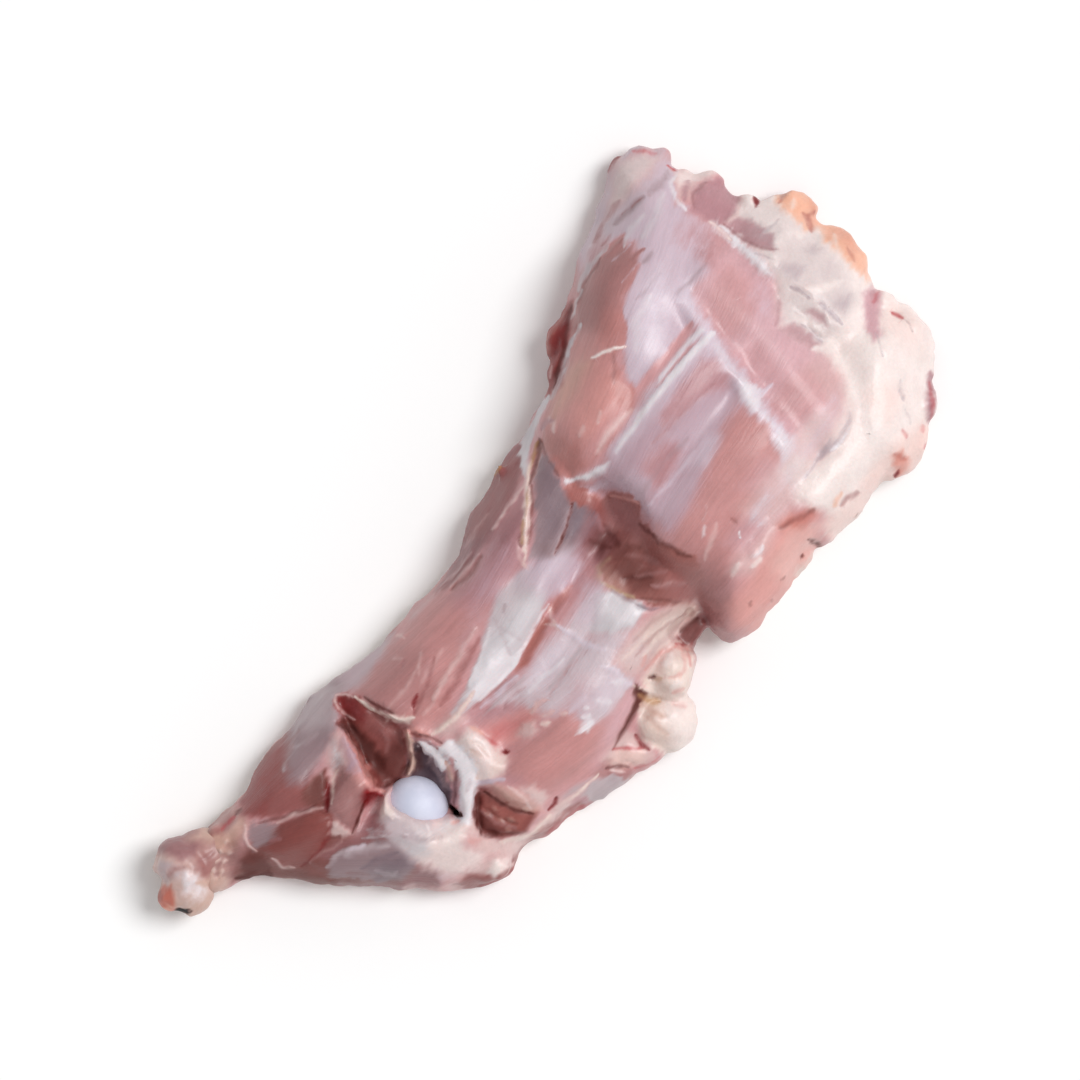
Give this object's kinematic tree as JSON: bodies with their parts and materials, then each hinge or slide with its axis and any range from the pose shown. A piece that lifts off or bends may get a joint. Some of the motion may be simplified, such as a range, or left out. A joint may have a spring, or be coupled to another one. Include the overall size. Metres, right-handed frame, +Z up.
{
  "type": "raw lamb shoulder",
  "caption": "Raw bone-in lamb shoulder lying flat: broad fat-capped blade end, muscled arm, opened elbow with a pale cartilage ball, and a narrow shank ending in a bare knuckle.",
  "frame": {"origin": "under the middle of the box round the whole shoulder, on the surface it lies on", "axes": "+X along the shoulder from the shank knuckle to the blade, +Y across it towards the side with the straight edge, +Z up through the shown side"},
  "size_m": [0.4036, 0.1836, 0.062],
  "materials": {
    "meat": "moist raw muscle under pale film and fat",
    "cartilage": "smooth bluish-white cartilage",
    "bone": "moist beige bone with traces of meat"
  },
  "bodies": {
    "root": {"meat": "meat", "elbow_head": "cartilage", "shank_knuckle": "bone"}
  },
  "joints": []
}
